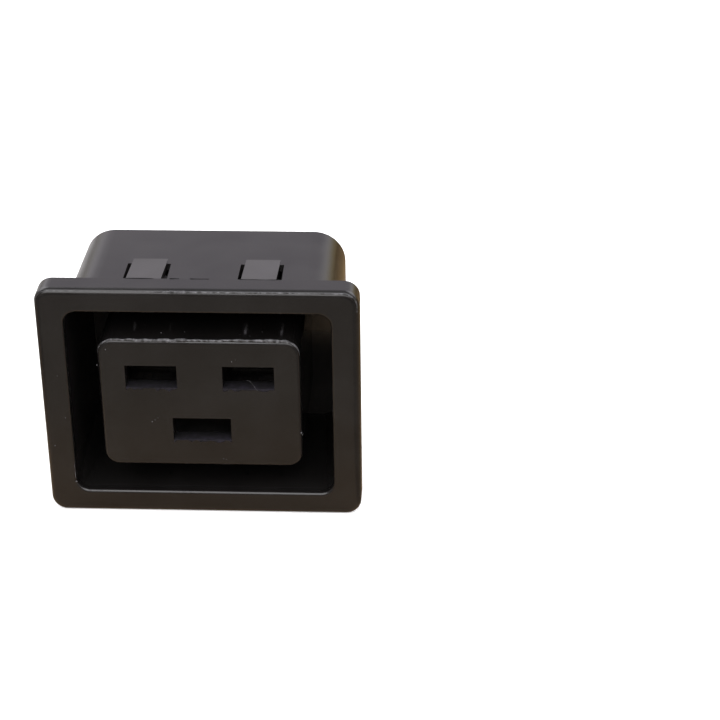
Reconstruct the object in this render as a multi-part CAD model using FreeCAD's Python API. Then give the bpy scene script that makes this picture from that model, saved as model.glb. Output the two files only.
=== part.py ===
"""C19 appliance outlet (sheet J), snap-in panel mount, 16 A, quick-connect tabs.

One moulded housing and three folded brass contacts.  All lengths are millimetres.

Frame: the origin is the centre of the panel cut-out, in the plane of the panel's front
face, which is the back of the flange.  +X runs along the long side of the flange, +Y goes
through the panel towards the terminals, +Z is up, with the earth slot at the bottom.
"""
import FreeCAD, Part
import math
import os

V = FreeCAD.Vector

# ---- contact grid of the standard sheet ---------------------------------------------------
line_neutral_pitch = 13.0     # between the two upper slots
earth_row_drop = 8.0          # earth slot below the upper row
upper_row_z = 4.1             # upper row above the middle of the flange

# ---- flange (bezel) -----------------------------------------------------------------------
flange_width = 42.7
flange_height = 34.3
flange_thickness = 3.5
flange_corner_radius = 2.1
flange_edge_radius = 0.85     # rounding of the front outer edge
relief_depth = 1.2            # shallow relief in the flange back under the snap tongues
relief_top_lip = 1.1          # land left along the long edge
relief_end_lip = 0.8          # land left at each short end
relief_reach = 4.2            # how far the relief runs in from the body's long wall
knockout_mark_diameter = 1.3  # ejector marks in the floor of the relief
knockout_mark_depth = 0.3
knockout_mark_x = 15.3

# ---- body shell and the recess that takes the plug's shroud --------------------------------
recess_width = 35.25
recess_height = 27.54
recess_corner_radius = 1.8    # at the mouth
recess_straight = 1.0         # depth of the mouth before its corners start to fill in
recess_floor_radius = 3.6     # corners at the floor, so that the wall goes evenly round them
recess_edge_radius = 0.45
wall_thickness = 1.15
body_depth = 20.45            # panel plane to the rear face
body_corner_radius = 4.9      # at the root
body_edge_radius = 0.35       # rounding of the rear outer edge
rear_wall_thickness = 2.6
body_draft_angle = 1.2        # degrees, outside of the shell, narrower to the rear
recess_draft_angle = 0.08

# ---- nose that carries the three slots ------------------------------------------------------
nose_width = 26.95
nose_height = 19.28
nose_corner_radius = 2.0
nose_edge_radius = 0.55
nose_setback = 0.2            # nose face behind the flange face
nose_face_thickness = 2.2
nose_draft_angle = 0.08       # degrees, wider to the rear
live_slot_width = 6.9
earth_slot_width = 7.85
slot_height = 3.4

# ---- terminal block on the rear face --------------------------------------------------------
block_height = 3.7            # above the rear face
block_corner_radius = 1.5
bar_lower_edge = 1.65         # lower edge of the bar below the middle
earth_leg_width = 12.0        # leg of the T that carries the earth contact
pocket_side_wall = 0.9        # nose wall left beside a lower corner pocket
pocket_bottom_wall = 1.8
pocket_corner_radius = 3.0
middle_pocket_width = 2.9
middle_pocket_height = 7.9
barrier_height = 12.0         # above the rear face
barrier_start_x = 7.5         # inner end of the wall between the line and earth tabs
barrier_end_width = 1.4       # width of its squared ends along X
barrier_end_height = 1.9      # and along Z
barrier_run = 4.2             # diagonal run along X and along Z

# ---- contact chambers in the nose -----------------------------------------------------------
chamber_height = 4.8
guide_rib_length = 3.4
guide_rib_thickness = 1.1
guide_rib_depth = 10.5        # from the top of the block
tab_slot_length = 8.0
tab_slot_clearance = 0.1

# ---- contacts ---------------------------------------------------------------------------------
metal_thickness = 0.8
tab_width = 6.3
tab_reach = 9.5               # above the terminal block
tab_tip_chamfer = 1.1
tab_hole_diameter = 1.7
tab_hole_from_tip = 4.0
shoulder_width = 7.4
live_tab_x = 12.0             # plane of the line and neutral tabs
earth_tab_x = 5.0             # plane of the earth tab, on the line side
cage_length = 4.8             # channel that joins the two spring leaves
cage_height = 4.4
cage_bend_radius = 1.1
leaf_gap_at_pin = 1.8
leaf_gap_at_mouth = 2.9
leaf_mouth_length = 2.2
leaf_front_clearance = 4.9    # behind the nose face, out of sight from the slot
leaf_side_clearance = 0.4
leaf_web_relief = 1.2         # leaves stop this far short of the web, so that they can flex

# ---- snap tongues -------------------------------------------------------------------------------
tongue_pitch = 15.4           # between the two tongues of a long side
tongue_width = 4.7
tongue_length = 7.6
tongue_slit = 0.65            # slit round the tongue, at the outer face
tongue_slit_inside = 0.25     # and at the inner face, as the mould's blade tapers
tongue_lift = 0.85            # catch above the wall at the free end
tongue_ramp_overrun = 1.55    # ramp starts this far behind the slit
panel_grip = 1.6              # flange back to the catch

# ---- places worked out from the sizes above --------------------------------------------------
flange_front = -flange_thickness
nose_front = flange_front + nose_setback
chamber_front = nose_front + nose_face_thickness
recess_floor = body_depth - rear_wall_thickness
block_top = body_depth + block_height
earth_row_z = upper_row_z - earth_row_drop
body_draft = math.tan(math.radians(body_draft_angle))
recess_draft = math.tan(math.radians(recess_draft_angle))
nose_draft = math.tan(math.radians(nose_draft_angle))


def rounded_outline(width, height, radius, y, centre_x=0.0, centre_z=0.0):
    """Closed rounded rectangle in the plane at y, seen along Y."""
    a, b = width / 2.0, height / 2.0
    r = min(radius, 0.98 * a, 0.98 * b)
    edges = []
    k = r * (1.0 - math.sqrt(0.5))
    corners = ((1, 1), (-1, 1), (-1, -1), (1, -1))
    for i, (sx, sz) in enumerate(corners):
        start = V(sx * a, 0, sz * (b - r)) if sx == sz else V(sx * (a - r), 0, sz * b)
        end = V(sx * (a - r), 0, sz * b) if sx == sz else V(sx * a, 0, sz * (b - r))
        mid = V(sx * (a - k), 0, sz * (b - k))
        edges.append(Part.Arc(start, mid, end).toShape())
        nx, nz = corners[(i + 1) % 4]
        following = V(nx * (a - r), 0, nz * b) if nx != nz else V(nx * a, 0, nz * (b - r))
        edges.append(Part.makeLine(end, following))
    wire = Part.Wire(edges)
    wire.translate(V(centre_x, y, centre_z))
    return wire


def wedge_along_y(half_x, half_z, y_start, y_end, growth_x, growth_z):
    """Block centred on the Y axis whose sides move out by a growth per mm of depth."""
    end_x = half_x + growth_x * (y_end - y_start)
    end_z = half_z + growth_z * (y_end - y_start)
    return Part.makeWedge(-half_x, y_start, -half_z, -end_z, -end_x, half_x, y_end, half_z, end_z, end_x)


def corner_columns(centre_x, centre_z, r_start, r_end, y_start, y_end):
    """Four round columns along Y at (+-centre_x, +-centre_z), tapered where the radii differ."""
    columns = []
    for x in (-centre_x, centre_x):
        for z in (-centre_z, centre_z):
            if abs(r_start - r_end) < 1e-6:
                columns.append(Part.makeCylinder(r_start, y_end - y_start, V(x, y_start, z), V(0, 1, 0)))
            else:
                columns.append(Part.makeCone(r_start, r_end, y_end - y_start, V(x, y_start, z), V(0, 1, 0)))
    return columns


def tapered_block(width, height, radius, y_start, y_end, growth=0.0):
    """Rounded block from y_start to y_end; each side moves out by growth per mm of depth."""
    a, b = width / 2.0, height / 2.0
    r = min(radius, 0.98 * a, 0.98 * b)
    r_end = r + growth * (y_end - y_start)
    block = wedge_along_y(a, b - r, y_start, y_end, growth, 0.0)
    upright = wedge_along_y(a - r, b, y_start, y_end, 0.0, growth)
    columns = corner_columns(a - r, b - r, r, r_end, y_start, y_end)
    return block.fuse([upright] + columns).removeSplitter()


def prism(points_xz, y_start, y_end):
    """Straight prism with the given outline in X and Z."""
    outline = [V(x, y_start, z) for x, z in points_xz]
    face = Part.Face(Part.makePolygon(outline + outline[:1]))
    return face.extrude(V(0, y_end - y_start, 0))


def slab(x0, x1, y0, y1, z0, z1):
    """Box between two corners, in any order."""
    lo = V(min(x0, x1), min(y0, y1), min(z0, z1))
    return Part.makeBox(abs(x1 - x0), abs(y1 - y0), abs(z1 - z0), lo)


def edges_in_plane(shape, y, tolerance=1e-4):
    """Edges that lie wholly in the plane at y."""
    return [e for e in shape.Edges
            if abs(e.BoundBox.YMin - y) < tolerance and abs(e.BoundBox.YMax - y) < tolerance]


def mirrored_x(shape):
    return shape.mirror(V(0, 0, 0), V(1, 0, 0))


def mirrored_z(shape):
    return shape.mirror(V(0, 0, 0), V(0, 0, 1))


def body_half_height(y):
    """Outside of the long wall at depth y."""
    return recess_height / 2.0 + wall_thickness - body_draft * y


# ---- flange -----------------------------------------------------------------------------------
def make_flange():
    """Plate with a rounded front edge and a shallow relief along both long sides of its back."""
    plate = tapered_block(flange_width, flange_height, flange_corner_radius, flange_front, 0.0)
    plate = plate.makeFillet(flange_edge_radius, edges_in_plane(plate, flange_front))
    half_length = flange_width / 2.0 - relief_end_lip
    outer = flange_height / 2.0 - relief_top_lip
    inner = body_half_height(0.0) - relief_reach
    relief = slab(-half_length, half_length, -relief_depth, 1.0, inner, outer)
    mark_z = (body_half_height(0.0) + outer) / 2.0
    for side in (-1, 1):
        mark = Part.makeCylinder(knockout_mark_diameter / 2.0, knockout_mark_depth + 1.0,
                                 V(side * knockout_mark_x, -relief_depth - knockout_mark_depth, mark_z),
                                 V(0, 1, 0))
        relief = relief.fuse(mark)
    return plate.cut(relief).cut(mirrored_z(relief))


# ---- body shell with its recess, and the nose ------------------------------------------------------
def make_shell():
    """Drafted shell, from inside the flange to the rear face."""
    root = -relief_depth - (flange_thickness - relief_depth) / 2.0
    spread = -2.0 * body_draft * root
    outside = tapered_block(recess_width + 2.0 * wall_thickness + spread,
                            recess_height + 2.0 * wall_thickness + spread,
                            body_corner_radius, root, body_depth, -body_draft)
    return outside.makeFillet(body_edge_radius, edges_in_plane(outside, body_depth))


def make_recess():
    """Space for the shroud of the plug, as deep as the rear wall allows.

    Behind a short straight mouth each corner fills in along a cone, so that the wall stays
    about even round the corner of the shell.
    """
    mouth = tapered_block(recess_width, recess_height, recess_corner_radius,
                          flange_front, recess_floor, -recess_draft)
    a, b, r = recess_width / 2.0, recess_height / 2.0, recess_floor_radius
    cone_start = flange_front + recess_straight
    tightest = r + (r - recess_corner_radius) * (math.sqrt(2.0) - 1.0)
    narrowing = (tightest - 1.04 * r) / (recess_floor - cone_start)
    columns = corner_columns(a - r, b - r, tightest + narrowing * recess_straight, 1.04 * r,
                             flange_front, recess_floor)
    core = wedge_along_y(a, b - r, flange_front, recess_floor, 0.0, 0.0)
    upright = wedge_along_y(a - r, b, flange_front, recess_floor, 0.0, 0.0)
    return mouth.common(core.fuse([upright] + columns))


def nose_size_at(y):
    """Width and height of the drafted nose at depth y."""
    grown = 2.0 * nose_draft * (y - nose_front)
    return nose_width + grown, nose_height + grown


def make_nose():
    """Block with the slots, standing on the rear wall inside the recess."""
    nose = tapered_block(nose_width, nose_height, nose_corner_radius,
                         nose_front, body_depth - rear_wall_thickness / 2.0, nose_draft)
    return nose.makeFillet(nose_edge_radius, edges_in_plane(nose, nose_front))


# ---- snap tongues --------------------------------------------------------------------------------
def tongue_centres():
    return (-tongue_pitch / 2.0, tongue_pitch / 2.0)


def make_tongue_slit(centre_x):
    """U-shaped slit through the upper long wall: two long legs and the gap at the free end.

    The far side of each leg leans, so that the slit is narrower at the inner face.
    """
    half = tongue_width / 2.0
    lean = (tongue_slit - tongue_slit_inside) / wall_thickness
    inner = recess_height / 2.0
    low, high = inner - wall_thickness / 3.0, inner + 1.5 * wall_thickness
    at_low, at_high = (tongue_slit_inside + lean * (z - inner) for z in (low, high))
    start, rear = panel_grip - tongue_slit, panel_grip + tongue_length
    leg = prism([(half, low), (half + at_low, low), (half + at_high, high), (half, high)], start, rear)
    gap = slab(-half, half, start, panel_grip, low, high)
    slit = leg.fuse([mirrored_x(leg), gap])
    slit.translate(V(centre_x, 0, 0))
    return slit


def make_tongue_ramp(centre_x):
    """Wedge on the tongue: flush at its rear end, highest at the catch."""
    start = panel_grip + tongue_length + tongue_ramp_overrun
    sink = wall_thickness / 2.0
    profile = [V(0, panel_grip, body_half_height(panel_grip) - sink),
               V(0, panel_grip, body_half_height(panel_grip) + tongue_lift),
               V(0, start, body_half_height(start)),
               V(0, start, body_half_height(start) - sink)]
    face = Part.Face(Part.makePolygon(profile + profile[:1]))
    wedge = face.extrude(V(tongue_width, 0, 0))
    wedge.translate(V(centre_x - tongue_width / 2.0, 0, 0))
    return wedge


# ---- terminal block ------------------------------------------------------------------------------------
def make_terminal_block():
    """T-shaped block on the rear face: a bar for line and neutral, a leg for earth."""
    width, height = nose_size_at(body_depth)
    foot = body_depth - rear_wall_thickness / 2.0
    bar_height = height / 2.0 + bar_lower_edge
    bar = Part.Face(rounded_outline(width, bar_height, block_corner_radius, foot, 0.0,
                                    height / 2.0 - bar_height / 2.0))
    leg = Part.Face(rounded_outline(earth_leg_width, height, block_corner_radius, foot))
    rise = V(0, block_top - foot, 0)
    return bar.extrude(rise).fuse(leg.extrude(rise))


def barrier_outline():
    """Diagonal wall with squared ends, seen along Y; it steps down and outwards."""
    x0, x1 = -barrier_start_x, -barrier_start_x - barrier_run
    z0, z1 = -bar_lower_edge, -bar_lower_edge - barrier_run
    return [(x0, z0), (x0, z0 + barrier_end_height), (x0 - barrier_end_width, z0 + barrier_end_height),
            (x1 - barrier_end_width, z1 + barrier_end_height), (x1 - barrier_end_width, z1), (x1, z1)]


def make_barrier():
    """Creepage barrier between the line and earth tabs."""
    return prism(barrier_outline(), chamber_front, body_depth + barrier_height)


def make_corner_pocket():
    """Deep pocket in a lower corner of the nose, beside the earth leg."""
    width, height = nose_size_at(chamber_front)
    inner, outer = earth_leg_width / 2.0, width / 2.0 - pocket_side_wall
    bottom = -height / 2.0 + pocket_bottom_wall
    pocket = slab(inner, outer, chamber_front, body_depth + 1.0, bottom, -bar_lower_edge)
    corner = [e for e in pocket.Edges
              if abs(e.BoundBox.XMin - outer) < 1e-4 and abs(e.BoundBox.XMax - outer) < 1e-4
              and abs(e.BoundBox.ZMax - bottom) < 1e-4]
    limit = 0.95 * min(outer - inner, -bar_lower_edge - bottom)
    return pocket.makeFillet(min(pocket_corner_radius, limit), corner)


# ---- contact chambers -------------------------------------------------------------------------------------
def make_chamber(slot_x, slot_width, row_z, tab_x):
    """Void for one contact: slot in the nose face, chamber, and the slot for its tab.

    The tab stands at tab_x, on the +X side of the slot.
    """
    half = slot_height / 2.0
    inner = slot_x - slot_width / 2.0
    slot = slab(inner, slot_x + slot_width / 2.0, nose_front - 1.0, chamber_front + 1.0,
                row_z - half, row_z + half)
    web_outer = tab_x + metal_thickness / 2.0 + tab_slot_clearance
    chamber = slab(inner, web_outer, chamber_front, block_top + 1.0,
                   row_z - chamber_height / 2.0, row_z + chamber_height / 2.0)
    tab_slot = slab(tab_x - metal_thickness / 2.0 - tab_slot_clearance, web_outer,
                    recess_floor, block_top + 1.0,
                    row_z - tab_slot_length / 2.0, row_z + tab_slot_length / 2.0)
    rib = slab(inner - 1.0, inner + guide_rib_length, block_top - guide_rib_depth, block_top + 2.0,
               row_z - guide_rib_thickness / 2.0, row_z + guide_rib_thickness / 2.0)
    return slot.fuse(chamber).fuse(tab_slot).cut(rib)


# ---- contacts -----------------------------------------------------------------------------------------------
def make_contact(slot_x, slot_width, row_z, tab_x):
    """One folded contact: tab and shoulders, channel-shaped cage, two spring leaves."""
    t = metal_thickness
    inner = slot_x - slot_width / 2.0 + leaf_side_clearance
    outer = tab_x + t / 2.0
    cage_rear = recess_floor
    cage_front = cage_rear - cage_length
    length = outer - inner

    # channel: rounded tube cut open on the side away from the tab
    tube_width = 2.0 * length
    tube = Part.Face(rounded_outline(tube_width, cage_height, cage_bend_radius, cage_front))
    tube = tube.cut(Part.Face(rounded_outline(tube_width - 2.0 * t, cage_height - 2.0 * t,
                                              cage_bend_radius - t, cage_front)))
    tube = tube.extrude(V(0, cage_length, 0))
    cage = tube.common(slab(0.0, length + 1.0, cage_front, cage_rear,
                            -cage_height, cage_height))
    cage.translate(V(inner, 0, row_z))

    # spring leaf: bent strip, root in line with the channel's flank
    root = cage_height / 2.0 - t / 2.0
    tip_y = chamber_front + leaf_front_clearance
    centre_line = [(cage_front + t, root), (cage_front, root),
                   (tip_y + leaf_mouth_length, leaf_gap_at_pin / 2.0 + t / 2.0),
                   (tip_y, leaf_gap_at_mouth / 2.0 + t / 2.0)]
    above = [V(0, y, z + t / 2.0) for y, z in centre_line]
    below = [V(0, y, z - t / 2.0) for y, z in reversed(centre_line)]
    strip = Part.Face(Part.makePolygon(above + below + above[:1]))
    strip = strip.extrude(V(outer - t - leaf_web_relief - inner, 0, 0))
    lower = mirrored_z(strip)
    for leaf in (strip, lower):
        leaf.translate(V(inner, 0, row_z))

    # blade: shoulders that stop on the floor of the tab slot, then the quick-connect tab
    tip = block_top + tab_reach
    shoulder_top = block_top - 0.8 * t
    w, s, c = tab_width / 2.0, shoulder_width / 2.0, tab_tip_chamfer
    root_y = cage_rear - t
    root_w = cage_height / 2.0 - cage_bend_radius
    half = [(root_w, root_y), (root_w, cage_rear), (s, cage_rear), (s, shoulder_top), (w, shoulder_top),
            (w, tip - c), (w - c, tip)]
    outline = [V(0, y, z) for z, y in half] + [V(0, y, -z) for z, y in reversed(half)]
    blade = Part.Face(Part.makePolygon(outline + outline[:1])).extrude(V(t, 0, 0))
    hole = Part.makeCylinder(tab_hole_diameter / 2.0, 3.0 * t, V(-t, tip - tab_hole_from_tip, 0), V(1, 0, 0))
    blade = blade.cut(hole)
    blade.translate(V(tab_x - t / 2.0, 0, row_z))
    return cage.fuse([strip, lower, blade]).removeSplitter()


# ---- assembly -----------------------------------------------------------------------------------------------
half_pitch = line_neutral_pitch / 2.0
live = (half_pitch, live_slot_width, upper_row_z, live_tab_x)
earth = (0.0, earth_slot_width, earth_row_z, earth_tab_x)

shell = make_flange().fuse(make_shell()).cut(make_recess())
shell = shell.makeFillet(recess_edge_radius, [
    e for e in edges_in_plane(shell, flange_front)
    if e.BoundBox.XMax < recess_width / 2.0 + 0.01 and e.BoundBox.XMin > -recess_width / 2.0 - 0.01
    and e.BoundBox.ZMax < recess_height / 2.0 + 0.01 and e.BoundBox.ZMin > -recess_height / 2.0 - 0.01])

for centre in tongue_centres():
    slit, ramp = make_tongue_slit(centre), make_tongue_ramp(centre)
    shell = shell.fuse([ramp, mirrored_z(ramp)]).cut(slit).cut(mirrored_z(slit))

housing = shell.fuse([make_nose(), make_terminal_block()])
pocket = make_corner_pocket()
housing = housing.cut(pocket).cut(mirrored_x(pocket))

# the barrier stands on a web that closes the outer part of its pocket
barrier_face = barrier_outline()
web_edge = -nose_width / 2.0
web = prism([barrier_face[0], (web_edge, barrier_face[0][1]), (web_edge, barrier_face[5][1]),
             barrier_face[5]], chamber_front, body_depth)
housing = housing.fuse([web, make_barrier()])

middle_pocket = slab(-middle_pocket_width / 2.0, middle_pocket_width / 2.0, chamber_front, block_top + 1.0,
                     upper_row_z - middle_pocket_height / 2.0, upper_row_z + middle_pocket_height / 2.0)
live_chamber = make_chamber(*live)
housing = housing.cut(middle_pocket).cut(live_chamber).cut(mirrored_x(live_chamber))
housing = housing.cut(mirrored_x(make_chamber(*earth))).removeSplitter()

live_contact = make_contact(*live)
nodes = {
    "housing": housing,
    "line_contact": mirrored_x(live_contact),
    "neutral_contact": live_contact,
    "earth_contact": mirrored_x(make_contact(*earth)),
}

os.makedirs("parts", exist_ok=True)
for name, shape in nodes.items():
    if len(shape.Solids) == 1:
        shape = shape.Solids[0]
    shape.exportStep("parts/%s.step" % name)
    box = shape.BoundBox
    print("%-16s valid %s  solids %d  volume %.1f  X %.2f..%.2f  Y %.2f..%.2f  Z %.2f..%.2f" % (
        name, shape.isValid(), len(shape.Solids), shape.Volume, box.XMin, box.XMax,
        box.YMin, box.YMax, box.ZMin, box.ZMax))
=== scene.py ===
import math

import bmesh
import bpy
import numpy as np
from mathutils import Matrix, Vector


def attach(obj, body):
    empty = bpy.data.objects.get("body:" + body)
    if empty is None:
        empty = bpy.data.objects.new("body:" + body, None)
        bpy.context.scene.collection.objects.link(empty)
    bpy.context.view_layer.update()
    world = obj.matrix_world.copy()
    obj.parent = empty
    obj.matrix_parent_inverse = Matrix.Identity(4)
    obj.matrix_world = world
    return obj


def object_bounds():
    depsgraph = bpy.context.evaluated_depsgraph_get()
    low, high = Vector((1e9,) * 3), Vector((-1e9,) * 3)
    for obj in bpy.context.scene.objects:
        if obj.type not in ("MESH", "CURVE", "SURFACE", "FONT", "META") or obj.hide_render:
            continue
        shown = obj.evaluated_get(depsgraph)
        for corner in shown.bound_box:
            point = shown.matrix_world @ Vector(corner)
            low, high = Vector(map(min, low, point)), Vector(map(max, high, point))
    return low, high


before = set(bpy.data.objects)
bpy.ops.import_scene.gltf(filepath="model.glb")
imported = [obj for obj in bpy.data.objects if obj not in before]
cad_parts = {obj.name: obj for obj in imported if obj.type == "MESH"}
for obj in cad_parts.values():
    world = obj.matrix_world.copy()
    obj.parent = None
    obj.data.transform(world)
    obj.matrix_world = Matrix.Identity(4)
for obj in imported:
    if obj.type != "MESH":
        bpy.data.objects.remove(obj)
cad_low, cad_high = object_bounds()


# ---- Housing ---------------------------------------------------------------------------
# The real piece is one injection moulding in glossy black nylon: flange, recess, nose,
# body, snap tongues and terminal block.  The polished mould leaves a smooth skin with a
# faint swirl, and its rougher core leaves the walls and the floor of the recess dull.

nylon_dark, nylon_light = (0.0052, 0.0047, 0.0046), (0.0082, 0.0075, 0.0073)
smoothest_skin, roughest_skin = 0.17, 0.27
nose_roughness = 0.11
wall_roughness = 0.36
worn_floor_roughness = 0.70
recess_near, recess_far = -0.0020, 0.0172       # along Y, from inside the mouth to near the floor
nose_box_x, nose_box_z = 0.0141, 0.0105         # half sizes of a box round the nose
floor_band_y = (0.0150, 0.0160)                 # fades in just in front of the recess floor
insert_edge_x = (0.0110, 0.0090)                # where the polish of the insert's corner ends
insert_edge_z = (0.0005, -0.0040)


def blank_material(name):
    """A material, its emptied node tree, and the place on the piece for its patterns."""
    material = bpy.data.materials.new(name)
    material.use_nodes = True
    tree = material.node_tree
    tree.nodes.clear()
    return material, tree, tree.nodes.new("ShaderNodeTexCoord").outputs["Object"]


def add_node(tree, kind, **settings):
    """A node with its settings, and its sockets where the name is a socket's."""
    node = tree.nodes.new(kind)
    for key, value in settings.items():
        if hasattr(node, key):
            setattr(node, key, value)
        else:
            node.inputs[key.replace("_", " ")].default_value = value
    return node


def feed(tree, socket, value):
    """Links an output to the socket, or sets the socket where value is a constant."""
    if isinstance(value, bpy.types.NodeSocket):
        tree.links.new(value, socket)
    else:
        socket.default_value = value


def axes_of(tree, vector):
    """The X, Y and Z of a vector."""
    axes = tree.nodes.new("ShaderNodeSeparateXYZ")
    tree.links.new(vector, axes.inputs["Vector"])
    return axes.outputs["X"], axes.outputs["Y"], axes.outputs["Z"]


def slope(tree, value, start, end, **ends):
    """Straight slope from 0 where value is start to 1 where it is end, and level beyond;
    ends gives another To_Min and To_Max than 0 and 1."""
    straight = add_node(tree, "ShaderNodeMapRange", From_Min=start, From_Max=end, **ends)
    tree.links.new(value, straight.inputs["Value"])
    return straight.outputs["Result"]


def joined(tree, operation, first, second):
    """What a math operation makes of two outputs."""
    node = add_node(tree, "ShaderNodeMath", operation=operation)
    tree.links.new(first, node.inputs[0])
    tree.links.new(second, node.inputs[1])
    return node.outputs["Value"]


def both(tree, first, second):
    """Where both hold: the product of two shares."""
    return joined(tree, "MULTIPLY", first, second)


def either(tree, first, second):
    """Where one or the other holds: the larger of two shares."""
    return joined(tree, "MAXIMUM", first, second)


def between(tree, value, low, high, soft):
    """1 where value lies between low and high, 0 outside, with slopes as wide as soft."""
    rise = slope(tree, value, low - soft, low)
    fall = slope(tree, value, high + soft, high)
    return both(tree, rise, fall)


def noise(tree, place, **settings):
    """Cloudy noise from 0 to 1 over the place."""
    clouds = add_node(tree, "ShaderNodeTexNoise", **settings)
    tree.links.new(place, clouds.inputs["Vector"])
    return clouds.outputs["Fac"]


def relief(tree, height, strength, distance, under=None):
    """Normal of a skin whose bumps follow height, laid over the normal under it."""
    bump = add_node(tree, "ShaderNodeBump", Strength=strength, Distance=distance)
    tree.links.new(height, bump.inputs["Height"])
    if under is not None:
        tree.links.new(under, bump.inputs["Normal"])
    return bump.outputs["Normal"]


def colour_ramp(tree, value, stops):
    """Colour that runs straight from stop to stop, each a value and its red, green, blue."""
    ramp = tree.nodes.new("ShaderNodeValToRGB")
    elements = ramp.color_ramp.elements
    elements[0].position, elements[0].color = stops[0][0], (*stops[0][1], 1.0)
    elements[1].position, elements[1].color = stops[-1][0], (*stops[-1][1], 1.0)
    for position, colour in stops[1:-1]:
        elements.new(position).color = (*colour, 1.0)
    tree.links.new(value, ramp.inputs["Fac"])
    return ramp.outputs["Color"]


def skin(tree, colour, roughness, normal, **constants):
    """Principled surface of a material, with its colour, roughness and normal."""
    surface = add_node(tree, "ShaderNodeBsdfPrincipled", **constants)
    feed(tree, surface.inputs["Base Color"], colour)
    feed(tree, surface.inputs["Roughness"], roughness)
    feed(tree, surface.inputs["Normal"], normal)
    output = tree.nodes.new("ShaderNodeOutputMaterial")
    tree.links.new(surface.outputs["BSDF"], output.inputs["Surface"])


def looks_inward(tree, place, normal):
    """1 where a wall looks towards the Y axis: where its normal times (x, 0, z) is negative."""
    arm = add_node(tree, "ShaderNodeVectorMath", operation="MULTIPLY")
    tree.links.new(place, arm.inputs[0])
    arm.inputs[1].default_value = (1.0, 0.0, 1.0)
    outward = add_node(tree, "ShaderNodeVectorMath", operation="DOT_PRODUCT")
    tree.links.new(normal, outward.inputs[0])
    tree.links.new(arm.outputs["Vector"], outward.inputs[1])
    return slope(tree, outward.outputs["Value"], 0.001, -0.001)


def moulded_black_plastic():
    """Near-black gloss, with slow waves and a fine grain in the bump.  The nose is smoother.
    The walls that look inwards are dulled, because the core drags along them, and so is the
    recess floor except in its upper right corner, where the core's insert is polished."""
    material, tree, place = blank_material("moulded_black_plastic")
    waves = noise(tree, place, Scale=160.0, Detail=2.0, Roughness=0.4)
    fine_grain = noise(tree, place, Scale=2600.0, Detail=3.0, Roughness=0.6)
    swirl = relief(tree, waves, strength=0.12, distance=0.0004)
    normal = relief(tree, fine_grain, strength=0.10, distance=0.00002, under=swirl)

    x, y, z = axes_of(tree, place)
    bare_normal = tree.nodes.new("ShaderNodeNewGeometry").outputs["Normal"]
    in_recess = between(tree, y, recess_near, recess_far, 0.0007)
    walls = both(tree, looks_inward(tree, place, bare_normal), in_recess)
    nose_section = both(tree, between(tree, x, -nose_box_x, nose_box_x, 0.0001),
                        between(tree, z, -nose_box_z, nose_box_z, 0.0001))
    nose = both(tree, nose_section, in_recess)
    looks_front = slope(tree, axes_of(tree, bare_normal)[1], -0.6, -0.9)
    recess_floor = both(tree, looks_front, slope(tree, y, *floor_band_y))
    off_insert = either(tree, slope(tree, x, *insert_edge_x), slope(tree, z, *insert_edge_z))
    worn_floor = both(tree, recess_floor, off_insert)

    finish = slope(tree, waves, 0.3, 0.7, To_Min=smoothest_skin, To_Max=roughest_skin)
    for share, roughness in ((nose, nose_roughness), (walls, wall_roughness),
                             (worn_floor, worn_floor_roughness)):
        mix = add_node(tree, "ShaderNodeMix", data_type="FLOAT")
        for socket, value in ((0, share), (2, finish), (3, roughness)):
            feed(tree, mix.inputs[socket], value)
        finish = mix.outputs[0]

    shade = colour_ramp(tree, waves, ((0.3, nylon_dark), (0.7, nylon_light)))
    skin(tree, shade, finish, normal, IOR=1.5)
    return material


black_plastic = moulded_black_plastic()
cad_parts["housing"].data.materials[0] = black_plastic


# ---- Contacts --------------------------------------------------------------------------
# Three blades and cages punched and folded from 0.8 mm brass strip, then tin plated.
# They are pushed in from the rear until their shoulders stop in the tab slots.

tin_dark, tin_light = (0.55, 0.52, 0.46), (0.78, 0.76, 0.71)
# Painted shade: inside the housing the contacts darken to this near black, from the rear face
# inwards.
inside_painted_shade = (0.045, 0.042, 0.038, 1.0)
painted_shade_starts, painted_shade_full = 0.0205, 0.0185     # along Y, from the rear face inwards


def blended(tree, share, first, second, blend_type="MIX"):
    """Mix of two colours by share, each an output or a constant."""
    mix = add_node(tree, "ShaderNodeMix", data_type="RGBA", blend_type=blend_type)
    for socket, value in ((0, share), (6, first), (7, second)):
        feed(tree, mix.inputs[socket], value)
    return mix.outputs[2]


def tin_plated_brass():
    """Pale plated metal: fine rolling lines along the strip, soft cloudy dulling, and painted
    shade that darkens what is inside the housing to near black."""
    material, tree, place = blank_material("tin_plated_brass")
    along = add_node(tree, "ShaderNodeMapping")
    along.inputs["Scale"].default_value = (1.0, 0.06, 1.0)
    tree.links.new(place, along.inputs["Vector"])
    rolling = noise(tree, along.outputs["Vector"], Scale=4200.0, Detail=2.0)
    clouds = noise(tree, place, Scale=420.0, Detail=4.0, Roughness=0.55)

    tint = colour_ramp(tree, clouds, ((0.35, tin_dark), (0.65, tin_light)))
    painted_shade_share = slope(tree, axes_of(tree, place)[1], painted_shade_starts, painted_shade_full)
    tint_with_painted_shade = blended(tree, painted_shade_share, tint, inside_painted_shade)
    dull = slope(tree, clouds, 0.3, 0.7, To_Min=0.22, To_Max=0.36)
    skin(tree, tint_with_painted_shade, dull, relief(tree, rolling, strength=0.15, distance=0.00003), Metallic=1.0)
    return material


plated = tin_plated_brass()
for contact in ("line_contact", "neutral_contact", "earth_contact"):
    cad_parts[contact].data.materials[0] = plated


# ---- Flash on the edges, with a painted highlight ----------------------------------------
# Where the two halves of the mould meet, a thread of flash stands on the front edges:
# round the top of the nose, along the top of the flange and on the lower lip of the recess.
# Its pale grey is a painted highlight along those edges.

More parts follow.
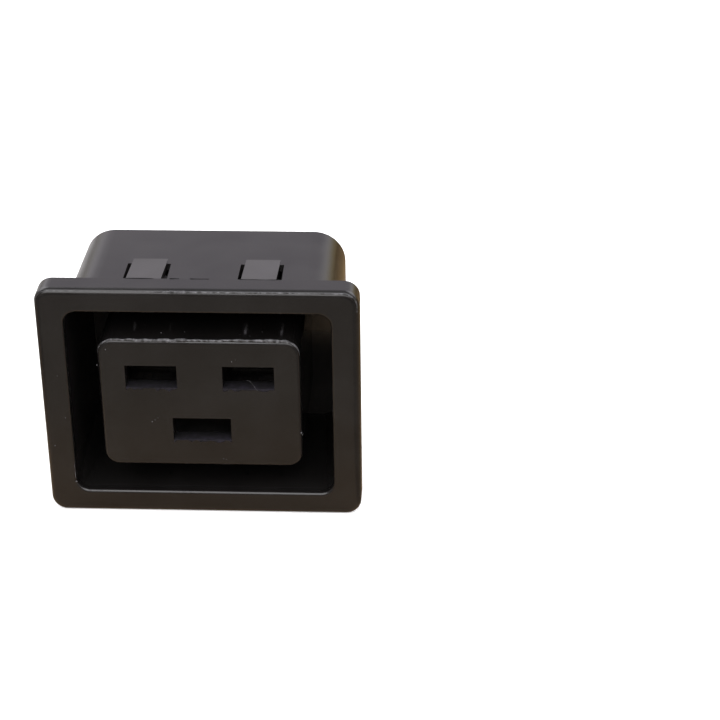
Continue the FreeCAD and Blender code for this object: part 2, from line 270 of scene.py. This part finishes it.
flange_front = -0.0035
nose_front = flange_front + 0.0002
full_rim_rings, full_rim_span = 700, 0.06       # rings of a whole rim, at this width + height
slow_rings, quick_rings, wander_rings = 26, 5, 9    # from one random knot to the next
taper_rings = 12
widest_wander = 0.00005
# The pale end is a painted highlight on the flash threads, and the colour of the dust grains and
# the hair.
flash_dark, pale_highlight_and_dust = (0.012, 0.012, 0.013), (0.15, 0.15, 0.16)


def slow_random(count, knots, seed):
    """Smooth random line from 0 to 1: random knots joined by half cosines."""
    value = np.random.default_rng(seed).random(knots + 1)
    place = np.linspace(0.0, knots, count)
    i = np.minimum(place.astype(int), knots - 1)
    f = 0.5 - 0.5 * np.cos(np.pi * (place - i))
    return value[i] * (1.0 - f) + value[i + 1] * f


def rim_path(width, height, radius, start, end, count):
    """Points of a rounded rectangle in X and Z and their outward directions, from start to
    end of its length, both as shares counted from the middle of the bottom over -X."""
    a, b = width / 2.0 - radius, height / 2.0 - radius
    arc = np.pi * radius / 2.0
    lengths = np.array([a, arc, 2 * b, arc, 2 * a, arc, 2 * b, arc, a])
    joints = np.concatenate([[0.0], np.cumsum(lengths)])
    s = np.linspace(start, end, count) * joints[-1]
    turn = np.interp(s, joints, [0, 0, 1, 1, 2, 2, 3, 3, 4, 4]) * np.pi / 2.0
    out = np.stack([-np.sin(turn), -np.cos(turn)], axis=1)
    centre = np.stack([np.interp(s, joints, [0, -a, -a, -a, -a, a, a, a, a, 0]),
                       np.interp(s, joints, [-b, -b, -b, b, b, b, b, -b, -b, -b])], axis=1)
    return centre + radius * out, out


def add_piece(name, points, faces, material, smooth=True):
    """Mesh object that belongs to the housing, with its faces turned outwards."""
    mesh = bpy.data.meshes.new(name)
    mesh.from_pydata(points.tolist(), [], faces)
    work = bmesh.new()
    work.from_mesh(mesh)
    bmesh.ops.recalc_face_normals(work, faces=work.faces)
    work.to_mesh(mesh)
    work.free()
    mesh.polygons.foreach_set("use_smooth", [smooth] * len(mesh.polygons))
    mesh.materials.append(material)
    piece = bpy.data.objects.new(name, mesh)
    bpy.context.scene.collection.objects.link(piece)
    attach(piece, "root")


def thread(centre, out, thickness, sides=6):
    """Tube on the points centre: ring k is centre + thickness*(cos(k)*out + sin(k)*Y)."""
    k = np.linspace(0.0, 2.0 * np.pi, sides, endpoint=False)
    ring = (np.cos(k)[None, :, None] * out[:, None, :]
            + np.sin(k)[None, :, None] * np.array([0.0, 1.0, 0.0]))
    points = centre[:, None, :] + thickness[:, None, None] * ring
    count = len(centre)
    i, j = np.meshgrid(np.arange(count - 1), np.arange(sides), indexing="ij")
    following = (j + 1) % sides
    faces = np.stack([i * sides + j, (i + 1) * sides + j, (i + 1) * sides + following,
                      i * sides + following], axis=-1).reshape(-1, 4).tolist()
    ends = [list(range(sides)), list(range((count - 1) * sides, count * sides))]
    return points.reshape(-1, 3), faces + ends


def flash_highlight_and_dust():
    """Pale grey nylon: a painted highlight on the flash threads, and the colour of dust and hair.
    """
    material, tree, place = blank_material("flash_highlight_and_dust")
    crumbs = noise(tree, place, Scale=1900.0, Detail=3.0, Roughness=0.65)
    shade = colour_ramp(tree, crumbs, ((0.40, flash_dark), (0.70, pale_highlight_and_dust)))
    skin(tree, shade, 0.42, relief(tree, crumbs, strength=0.5, distance=0.00005), IOR=1.5)
    return material


def edge_flash_highlight(name, width, height, radius, y, start, end, strength, thickest, seed):
    """Thread on a rim.  Each knot of strength is an X, a share of the thickest flash and how
    many mm it stands out there.  The share is broken up by a slow line times a quick random
    line, the thread wanders at random about its path, and it tapers to both ends."""
    count = int(full_rim_rings * (end - start) * (width + height) / full_rim_span) + 20
    rim, out = rim_path(width, height, radius, start, end, count)
    knots = np.array(strength).T
    share = np.interp(rim[:, 0], knots[0], knots[1])
    slow = slow_random(count, count // slow_rings, seed)
    quick = slow_random(count, count // quick_rings, seed + 1)
    broken = 0.35 + 1.3 * slow * quick
    thickness = thickest * np.clip(share * broken, 0.02, 1.3)
    wander = widest_wander * (slow_random(count, count // wander_rings, seed + 2) - 0.5)
    wander += 0.001 * np.interp(rim[:, 0], knots[0], knots[2])
    out = np.stack([out[:, 0], np.zeros(count), out[:, 1]], axis=1)
    centre = np.stack([rim[:, 0], np.full(count, y), rim[:, 1]], axis=1) + wander[:, None] * out
    rings_to_end = np.minimum(np.arange(count), np.arange(count)[::-1])
    taper = np.minimum(1.0, rings_to_end / taper_rings + 0.05)
    add_piece(name, *thread(centre, out, thickness * taper), highlight_and_dust_material)


highlight_and_dust_material = flash_highlight_and_dust()
nose_rim = {"width": 0.02680, "height": 0.01914, "radius": 0.00195, "y": nose_front + 0.00018}
edge_flash_highlight("nose_flash_highlight", **nose_rim, start=0.335, end=0.665, thickest=0.00027, seed=3,
           strength=((-0.0136, 0.7, 0.0), (-0.0128, 1.0, 0.0), (-0.009, 0.85, 0.0),
                     (-0.003, 1.0, 0.05), (0.0056, 1.0, 0.14), (0.0106, 1.1, 0.19),
                     (0.0136, 0.9, 0.0)))
edge_flash_highlight("nose_root_flash_highlight", **nose_rim, start=0.345, end=0.655, thickest=0.00022, seed=15,
           strength=((-0.0132, 0.3, 0.0), (-0.0120, 0.8, 0.08), (-0.0060, 0.8, 0.09),
                     (-0.0030, 0.8, 0.02), (0.0056, 0.9, 0.05), (0.0106, 1.0, 0.08),
                     (0.0132, 0.3, 0.0)))
edge_flash_highlight("flange_flash_highlight", width=0.04215, height=0.03375, radius=0.0018,
           y=flange_front + 0.00020, start=0.345, end=0.655, thickest=0.00017, seed=11,
           strength=((-0.0215, 0.2, 0.0), (-0.0190, 0.3, 0.0), (-0.014, 0.1, 0.0),
                     (-0.008, 0.15, 0.0), (-0.003, 1.0, 0.0), (0.002, 1.4, 0.0),
                     (0.007, 1.2, 0.0), (0.014, 0.2, 0.0), (0.0185, 0.9, 0.0),
                     (0.0215, 0.9, 0.0)))
edge_flash_highlight("mouth_flash_highlight", width=0.03560, height=0.02786, radius=0.00195,
           y=flange_front + 0.00014, start=0.0, end=0.20, thickest=0.00008, seed=21,
           strength=((-0.018, 0.4, 0.0), (-0.0165, 0.9, 0.0), (-0.008, 0.3, 0.0),
                     (0.0, 0.6, 0.0)))


# ---- Painted shade line behind the flange ------------------------------------------------
# A dark broken thread along the top rear edge of the flange, painted shade where the flange
# meets the body.

flange_top = 0.01713
line_rings = 300
torn_dark, torn_light = (0.0046, 0.0040, 0.0056), (0.0125, 0.0103, 0.0165)
# Painted shade on the torn skin: darkest at the first Y, in the slots, and gone at the second, at
# the front.
painted_shade_deep, painted_shade_open = -0.0012, -0.0031         # along Y, from in the slots to the front


def torn_skin_painted_shade():
    """Dull dark grey nylon with a rough grain, bluish in its scuffs.  From the front of the slots
    inwards, and all over the line behind the flange, it darkens to 0.12 of that: painted shade."""
    material, tree, place = blank_material("torn_skin_painted_shade")
    scuffs = noise(tree, place, Scale=1300.0, Detail=4.0, Roughness=0.6)
    shade = colour_ramp(tree, scuffs, ((0.40, torn_dark), (0.66, torn_light)))
    y = axes_of(tree, place)[1]
    painted_shade_depth = slope(tree, y, painted_shade_deep, painted_shade_open, To_Min=0.12, To_Max=1.0)
    shaded_colour = blended(tree, 1.0, shade, painted_shade_depth, "MULTIPLY")
    skin(tree, shaded_colour, 0.8, relief(tree, scuffs, strength=0.4, distance=0.00006), IOR=1.33)
    return material


def shade_line_thread(name, knots, y, z, thickest, seed):
    """Thread along X between (x, share) knots in mm: its thickness is the share times a
    random line from a half to one."""
    place, share = np.array(knots).T
    x = np.linspace(place[0], place[-1], line_rings)
    centre = np.stack([0.001 * x, np.full(line_rings, y), np.full(line_rings, z)], axis=1)
    out = np.tile([0.0, 0.0, 1.0], (line_rings, 1))
    uneven = 0.5 + 0.5 * slow_random(line_rings, 17, seed)
    thickness = thickest * np.interp(x, place, share) * uneven
    add_piece(name, *thread(centre, out, thickness), torn_and_shaded_material)


torn_and_shaded_material = torn_skin_painted_shade()
shade_line_thread("flange_painted_shade_line", y=0.0, z=flange_top, thickest=0.00011, seed=91,
          knots=((-9.8, 0.1), (-9.5, 0.8), (-6.0, 0.9), (-5.7, 0.1), (-3.8, 0.1), (-3.6, 1.0),
                 (-2.5, 0.9), (-2.3, 0.1), (-1.1, 0.1), (-0.9, 1.0), (1.4, 0.8), (1.7, 0.1),
                 (5.3, 0.1), (5.6, 0.8), (11.0, 0.7), (11.3, 0.1)))


# ---- Slot lips ---------------------------------------------------------------------------
# The punches that close against the slots leave a dull torn skin on the floor of each slot,
# hanging over the front edge in a ragged line; deeper in the slot it is darkened with painted
# shade.  A loose hair of nylon hangs across the lower edge of the neutral slot.

live_slot_x = 0.0130 / 2.0                      # half the pitch of the two upper slots
upper_row_z, earth_row_drop = 0.0041, 0.0080
slot_height = 0.0034
live_slot_width, earth_slot_width = 0.00690, 0.00785
side_gap = 0.00001
lip_thickness = 0.00006
lip_lift, lip_waviness = 0.00003, 0.00005       # off the slot floor
lip_edge, lip_proud = 0.00003, 0.00004          # behind and in front of the nose face
long_tatters, short_tatters = 0.00044, 0.00010
lip_reach = 0.00215                             # from the nose face back along the floor
live_floor_z = upper_row_z - slot_height / 2.0
earth_floor_z = live_floor_z - earth_row_drop


def closed_sheet(top, under, rows, across):
    """Faces of a sheet whose upper and lower points are two grids of rows by across points."""
    i, j = np.meshgrid(np.arange(rows - 1), np.arange(across - 1), indexing="ij")
    sheet = np.stack([i * across + j, i * across + j + 1, (i + 1) * across + j + 1,
                      (i + 1) * across + j], axis=-1).reshape(-1, 4)
    n = rows * across
    edge = np.concatenate([np.arange(across), np.arange(1, rows) * across + across - 1,
                           (rows - 1) * across + np.arange(across - 2, -1, -1),
                           np.arange(rows - 2, 0, -1) * across])
    following = np.roll(edge, -1)
    wall = np.stack([edge, following, following + n, edge + n], axis=1)
    faces = np.concatenate([sheet, sheet[:, ::-1] + n, wall]).tolist()
    return np.concatenate([top, under]), faces


def slot_lip(name, middle_x, slot_width, floor_z, seed):
    """Grid over the slot floor and its front edge: ten rows run from back to front, lifted by
    a random line, and two more go down the face by a random drop for each column."""
    across, along = 64, 10
    half_width = slot_width / 2.0 - side_gap
    x = middle_x + np.linspace(-half_width, half_width, across)
    drop = (long_tatters * slow_random(across, 13, seed) ** 2
            + short_tatters * slow_random(across, 30, seed + 1))
    lifted = floor_z + (lip_lift + lip_waviness * slow_random(across, 17, seed + 2))
    on_floor = np.linspace(nose_front + lip_reach, nose_front + lip_edge, along)
    y = np.append(on_floor, [nose_front - lip_proud] * 2)
    down = np.append(np.zeros(along), [0.35, 1.0])
    rows = len(y)
    top = np.stack([np.tile(x, (rows, 1)), np.repeat(y[:, None], across, axis=1),
                    lifted[None, :] - down[:, None] * drop[None, :]], axis=-1).reshape(-1, 3)
    under = top - np.array([0.0, 0.0, lip_thickness])
    under[-2 * across:] = top[-2 * across:] + np.array([0.0, lip_thickness, 0.0])
    add_piece(name, *closed_sheet(top, under, rows, across), torn_and_shaded_material)


def loose_hair(name, bends, y, thickness, rings=50):
    """Thread of one thickness through bends, each an (x, z) in mm, in the plane at y."""
    side, height = np.array(bends).T
    place = np.linspace(0.0, len(bends) - 1.0, rings)
    centre = np.stack([0.001 * np.interp(place, np.arange(len(bends)), side), np.full(rings, y),
                       0.001 * np.interp(place, np.arange(len(bends)), height)], axis=1)
    out = np.tile([0.6, 0.0, 0.8], (rings, 1))
    add_piece(name, *thread(centre, out, np.full(rings, thickness)), highlight_and_dust_material)


slot_lip("line_slot_lip", -live_slot_x, live_slot_width, live_floor_z, seed=31)
slot_lip("neutral_slot_lip", live_slot_x, live_slot_width, live_floor_z, seed=41)
slot_lip("earth_slot_lip", 0.0, earth_slot_width, earth_floor_z, seed=51)
loose_hair("slot_hair", ((6.3, 3.80), (6.6, 3.78), (6.9, 3.45), (7.25, 2.90), (7.7, 2.20)),
           y=nose_front - 0.000035, thickness=0.000024)


# ---- Slit films --------------------------------------------------------------------------
# Sheets of the black plastic, thinner than paper, close the slits of the snap tongues on their
# recess side as painted shade: all of the lower slits, and the upper ones up to their rear end.

tongue_x = 0.0154 / 2.0                         # half the pitch of the two tongues of a side
recess_wall_z = 0.01381
slit_start = 0.0008                             # along Y, from the back of the flange
slit_width = 0.00047
film_thickness = 0.00005
lower_film_end, end_film_end = 0.0098, 0.0020
end_film_half_width = 0.0024
widest_film_wander = 0.0004


def slit_film(name, start_x, end_x, end_y, z, seed):
    """Flat sheet against the recess wall at height z, from the start of the slit to end_y;
    its rear end falls short of that by a random share of the widest wander."""
    rows, across = 14, 7
    x, share = np.meshgrid(np.linspace(start_x, end_x, across), np.linspace(0.0, 1.0, rows))
    rear = end_y - widest_film_wander * slow_random(across, 4, seed)
    y = slit_start + share * (rear[None, :] - slit_start)
    top = np.stack([x, y, np.full_like(x, z)], axis=-1).reshape(-1, 3)
    under = top - np.array([0.0, 0.0, math.copysign(film_thickness, z)])
    add_piece(name, *closed_sheet(top, under, rows, across), black_plastic, smooth=False)


for side, name, upper_film_end in ((-1, "left", 0.0075), (1, "right", 0.0067)):
    middle = side * tongue_x
    for leg, from_middle in (("a", -0.00272), ("b", 0.00225)):
        start_x = middle + from_middle
        end_x = start_x + slit_width
        slit_film(f"upper_{name}_film_{leg}", start_x, end_x, upper_film_end, recess_wall_z,
                  seed=61 + side)
        slit_film(f"lower_{name}_film_{leg}", start_x, end_x, lower_film_end, -recess_wall_z,
                  seed=71 + side)
    for place, z in (("upper", recess_wall_z), ("lower", -recess_wall_z)):
        slit_film(f"{place}_{name}_film_end", middle - end_film_half_width,
                  middle + end_film_half_width, end_film_end, z, seed=81 + side)


# ---- Grains on the face ------------------------------------------------------------------
# Crumbs of nylon dust, about 0.1 to 0.3 mm across, lie loose on the front faces and on the
# top of the nose.  Three of them, at the sides of the nose, stand clear of the plastic.

grains = (      # x, y, z, and the size in hundredths of a millimetre
    (-0.0123, -0.0033, 0.0082, 9.0), (0.0044, -0.0033, 0.0066, 7.0),
    (0.0049, -0.0033, 0.0069, 6.0), (-0.0059, -0.0033, -0.0022, 8.0),
    (-0.0063, -0.0033, -0.0025, 6.0), (-0.0067, -0.0033, -0.0028, 8.0),
    (0.0027, -0.0033, -0.0085, 8.0), (0.0031, -0.0033, -0.0086, 6.0),
    (-0.0184, -0.0035, -0.0023, 7.0), (-0.0202, -0.0035, -0.0067, 9.0),
    (-0.0190, -0.0035, 0.0042, 5.0), (0.0134, -0.0033, -0.0042, 12.0),
    (0.0135, -0.0030, -0.0047, 9.0), (-0.0136, -0.0032, 0.0058, 8.0),
    (-0.0177, -0.0035, -0.0124, 13.0), (0.0164, 0.0000, -0.0040, 7.0),
    (-0.0051, -0.0011, 0.0096, 10.0), (-0.0020, -0.0008, 0.0096, 9.0),
    (0.0083, -0.0005, 0.0096, 10.0), (-0.0075, 0.0010, 0.0096, 6.0),
    (0.0054, -0.0014, 0.0096, 9.0), (0.0068, -0.0017, 0.0096, 7.0),
    (-0.0107, -0.0012, 0.0096, 6.0))
first_grain_seed = 100


def grain(centre, size, seed, rings=6, sides=8):
    """Pebble: a ball over two angles, flattened to 0.6 along Y, whose radius swells by a
    random share at each point.  Its faces are four-sided ones, and three-sided ones at the
    two poles."""
    chance = np.random.default_rng(seed)
    tilt = np.linspace(0.0, np.pi, rings)[1:-1]
    turn = np.linspace(0.0, 2.0 * np.pi, sides, endpoint=False)
    t, u = np.meshgrid(tilt, turn, indexing="ij")
    radius = size * (0.7 + 0.6 * chance.random(t.shape))
    body = np.stack([radius * np.sin(t) * np.cos(u), 0.6 * radius * np.cos(t),
                     radius * np.sin(t) * np.sin(u)], axis=-1).reshape(-1, 3)
    poles = np.array([[0.0, 0.6 * size, 0.0], [0.0, -0.6 * size, 0.0]])
    rows = rings - 2
    i, j = np.meshgrid(np.arange(rows - 1), np.arange(sides), indexing="ij")
    following = (j + 1) % sides
    quads = np.stack([i * sides + j, i * sides + following, (i + 1) * sides + following,
                      (i + 1) * sides + j], axis=-1).reshape(-1, 4)
    k, last_ring = np.arange(sides), (rows - 1) * sides
    after = (k + 1) % sides
    first_pole = np.full(sides, rows * sides)
    caps = np.stack([first_pole, k, after, first_pole + 1, last_ring + after, last_ring + k],
                    axis=1).reshape(-1, 3)
    return np.concatenate([body, poles]) + np.array(centre), quads, caps


grain_points, grain_faces = [], []
for number, (x, y, z, hundredths) in enumerate(grains):
    body, quads, caps = grain((x, y, z), hundredths * 1e-5, first_grain_seed + number)
    offset = number * len(body)
    grain_points.append(body)
    grain_faces += (quads + offset).tolist() + (caps + offset).tolist()
add_piece("face_grains", np.concatenate(grain_points), grain_faces, highlight_and_dust_material)


# ---- Ejector marks -----------------------------------------------------------------------
# The mould's ejector pins push on the rear rim of the shell, and the nylon that creeps in
# round them leaves fine proud rings of the same black plastic.

rear_face = 0.02045
ring_points, ring_thickness = 60, 0.00005


def ejector_ring(name, x, z, radius, start, end):
    """Ring thread: a circle about Y at (x, z) between two angles in degrees."""
    angle = np.radians(np.linspace(start, end, ring_points))
    out = np.stack([np.cos(angle), np.zeros(ring_points), np.sin(angle)], axis=1)
    centre = np.array([x, rear_face, z]) + radius * out
    thickness = np.full(ring_points, ring_thickness)
    add_piece(name, *thread(centre, out, thickness), black_plastic)


ejector_ring("ejector_ring_right", x=0.0151, z=-0.0078, radius=0.0020, start=95.0, end=330.0)
ejector_ring("ejector_ring_left", x=-0.0151, z=-0.0078, radius=0.0020, start=210.0, end=445.0)
ejector_ring("ejector_ring_top", x=0.0145, z=0.0124, radius=0.0014, start=0.0, end=180.0)


# ---- Studio floor ------------------------------------------------------------------------
# A sweep of white paper under the lower edge of the flange, lit through from below.  Glossy
# plastic mirrors it as the warm table that it lies on.

floor_radius = 3.0
paper_white = (0.92, 0.92, 0.92, 1.0)
shadow_grey = (0.52, 0.51, 0.50, 1.0)
browns_back, browns_front = 0.030, -0.085       # along Y, where the browns start and end
grey_edge_x, grey_edge_y = (0.021, 0.015), (0.012, 0.024)
bright_left, bright_right, bright_soft = -0.040, 0.0216, 0.003
far_back_y = (0.055, 0.075)
dim_share = 0.55
glow_near, glow_far = 0.06, 0.45                # from the part
table_browns = ((0.00, (0.235, 0.160, 0.080)), (0.30, (0.405, 0.290, 0.182)),
                (0.57, (0.245, 0.208, 0.160)), (1.00, (0.180, 0.166, 0.146)))


def disc(radius, height, rings=2, sectors=96):
    """Flat disc: ring j at radius*j/rings, sector i at angle 2*pi*i/sectors."""
    angle = np.linspace(0.0, 2.0 * np.pi, sectors, endpoint=False)
    reach = radius * np.arange(1, rings + 1) / rings
    ring = np.stack([reach[:, None] * np.cos(angle), reach[:, None] * np.sin(angle),
                     np.full((rings, sectors), height)], axis=-1).reshape(-1, 3)
    points = np.vstack([[0.0, 0.0, height], ring])
    i = np.arange(sectors)
    following = (i + 1) % sectors
    fan = np.stack([np.zeros_like(i), 1 + i, 1 + following], axis=1).tolist()
    quads = [np.stack([1 + j * sectors + i, 1 + (j + 1) * sectors + i,
                       1 + (j + 1) * sectors + following, 1 + j * sectors + following], axis=1)
             for j in range(rings - 1)]
    mesh = bpy.data.meshes.new("floor")
    mesh.from_pydata(points.tolist(), [], fan + np.vstack(quads).tolist())
    return mesh


def choice(tree, share, first, second):
    """The first shader where share is 0, and the second where it is 1."""
    mix = tree.nodes.new("ShaderNodeMixShader")
    for socket, source in enumerate((share, first, second)):
        tree.links.new(source, mix.inputs[socket])
    return mix.outputs["Shader"]


def table_colour(tree, place):
    """Browns from behind the part to in front of it, grey behind its left and middle, and
    dimmed on either side of it, but for the far back."""
    x, y, _ = axes_of(tree, place)
    browns = colour_ramp(tree, slope(tree, y, browns_back, browns_front), table_browns)
    behind_part = both(tree, slope(tree, x, *grey_edge_x), slope(tree, y, *grey_edge_y))
    greyed = blended(tree, behind_part, browns, shadow_grey)
    beside = between(tree, x, bright_left, bright_right, bright_soft)
    bright = either(tree, beside, slope(tree, y, *far_back_y))
    dimmed = slope(tree, bright, 0.0, 1.0, To_Min=dim_share, To_Max=1.0)
    return blended(tree, 1.0, greyed, dimmed, "MULTIPLY")


def floor_paper():
    """White paper, and to glossy plastic the table.  What the eye sees directly is lit from
    below as well, and brighter the farther it is from the part."""
    material, tree, place = blank_material("floor_paper")
    paper = add_node(tree, "ShaderNodeBsdfDiffuse", Color=paper_white)
    table = add_node(tree, "ShaderNodeBsdfDiffuse")
    tree.links.new(table_colour(tree, place), table.inputs["Color"])
    path = tree.nodes.new("ShaderNodeLightPath")
    mirrored = choice(tree, path.outputs["Is Glossy Ray"], paper.outputs["BSDF"],
                      table.outputs["BSDF"])
    reach = add_node(tree, "ShaderNodeVectorMath", operation="LENGTH")
    tree.links.new(place, reach.inputs[0])
    far_off = reach.outputs["Value"]
    glow_strength = slope(tree, far_off, glow_near, glow_far, To_Min=0.35, To_Max=0.95)
    lamp = tree.nodes.new("ShaderNodeEmission")
    tree.links.new(glow_strength, lamp.inputs["Strength"])
    lit = tree.nodes.new("ShaderNodeAddShader")
    tree.links.new(mirrored, lit.inputs[0])
    tree.links.new(lamp.outputs["Emission"], lit.inputs[1])
    whole = choice(tree, path.outputs["Is Camera Ray"], mirrored, lit.outputs["Shader"])
    output = tree.nodes.new("ShaderNodeOutputMaterial")
    tree.links.new(whole, output.inputs["Surface"])
    return material


floor = bpy.data.objects.new("floor", disc(floor_radius, cad_low.z))
bpy.context.scene.collection.objects.link(floor)
floor.data.materials.append(floor_paper())


# ---- Studio light ------------------------------------------------------------------------
# A pale cyclorama behind, banded up to the ceiling and warm low on the right, a dim warm room
# in front, one large softbox above the camera, and two small ones on the far side for the
# rear face.  The eye itself sees plain white.

# each stop is a height, from the horizon at 0 to overhead at 1, and a colour
upper_sky = ((0.45, (0.75, 0.70, 0.78)), (0.54, (0.96, 0.90, 0.99)),
             (0.66, (0.84, 0.79, 0.86)), (0.78, (0.56, 0.55, 0.58)),
             (1.00, (0.54, 0.53, 0.56)))
left_sky = ((0.00, (0.58, 0.54, 0.49)), (0.10, (0.72, 0.69, 0.66)),
            (0.24, (1.00, 0.94, 1.03)), (0.32, (0.87, 0.83, 0.90)),
            (0.37, (0.60, 0.565, 0.61))) + upper_sky
right_sky = ((0.00, (0.48, 0.33, 0.12)), (0.12, (0.70, 0.56, 0.30)),
             (0.25, (1.04, 0.99, 0.94)), (0.32, (0.90, 0.88, 0.92)),
             (0.37, (0.62, 0.60, 0.63))) + upper_sky
front_room = ((0.00, (0.30, 0.24, 0.18)), (0.30, (0.30, 0.27, 0.24)),
              (1.00, (0.42, 0.41, 0.43)))
warm_side, front_side = (0.15, 0.45), (-0.25, 0.25)     # of the direction, along X and Y
backdrop_strength, backdrop_white = 1.3, (1.0, 1.0, 1.0, 1.0)
aim = Vector((0.0, 0.0, 0.0))                   # the middle of the flange's back

world = bpy.data.worlds.new("studio")
bpy.context.scene.world = world
world.use_nodes = True
tree = world.node_tree
tree.nodes.clear()
to_right, away, up = axes_of(tree, tree.nodes.new("ShaderNodeTexCoord").outputs["Generated"])
behind = blended(tree, slope(tree, to_right, *warm_side), colour_ramp(tree, up, left_sky),
                 colour_ramp(tree, up, right_sky))
room = blended(tree, slope(tree, away, *front_side), colour_ramp(tree, up, front_room), behind)
glow = add_node(tree, "ShaderNodeBackground", Strength=1.0)
tree.links.new(room, glow.inputs["Color"])
seen = add_node(tree, "ShaderNodeBackground", Strength=backdrop_strength, Color=backdrop_white)
to_eye = tree.nodes.new("ShaderNodeLightPath").outputs["Is Camera Ray"]
whole = choice(tree, to_eye, glow.outputs["Background"], seen.outputs["Background"])
output = tree.nodes.new("ShaderNodeOutputWorld")
tree.links.new(whole, output.inputs["Surface"])


def softbox(name, place, width, depth, watts, tint=(1.0, 1.0, 1.0)):
    """Rectangular area light at place, facing the aim."""
    light = bpy.data.lights.new(name, "AREA")
    light.shape = "RECTANGLE"
    light.size, light.size_y, light.energy, light.color = width, depth, watts, tint
    box = bpy.data.objects.new(name, light)
    box.location = place
    box.rotation_euler = (aim - Vector(place)).to_track_quat("-Z", "Y").to_euler()
    bpy.context.scene.collection.objects.link(box)


softbox("front_top", (0.0, -0.37, 0.48), width=0.9, depth=0.60, watts=6.2, tint=(1.0, 0.99, 1.0))
softbox("rear_left", (-0.38, 0.32, 0.38), width=0.5, depth=0.4, watts=1.3)
softbox("rear_right", (0.38, 0.32, 0.38), width=0.5, depth=0.4, watts=1.3)


# ---- Camera ------------------------------------------------------------------------------
# Long lens, 30 degrees above the mating face and a little to its right.  It looks past the
# part, which stands in the left half of the picture.

focal_length, sensor_width = 104.694, 36.0      # mm
camera_place = (0.0335136, -0.2439501, 0.1416556)
camera_turn = (60.8241, 0.56681, 2.56541)       # degrees about X, Y and Z

lens = bpy.data.cameras.new("camera")
lens.lens = focal_length
lens.sensor_width = sensor_width
lens.clip_start, lens.clip_end = 0.01, 20.0
camera = bpy.data.objects.new("camera", lens)
camera.location = camera_place
camera.rotation_euler = [math.radians(degrees) for degrees in camera_turn]
bpy.context.scene.collection.objects.link(camera)
bpy.context.scene.camera = camera
bpy.context.scene.view_settings.view_transform = "Standard"
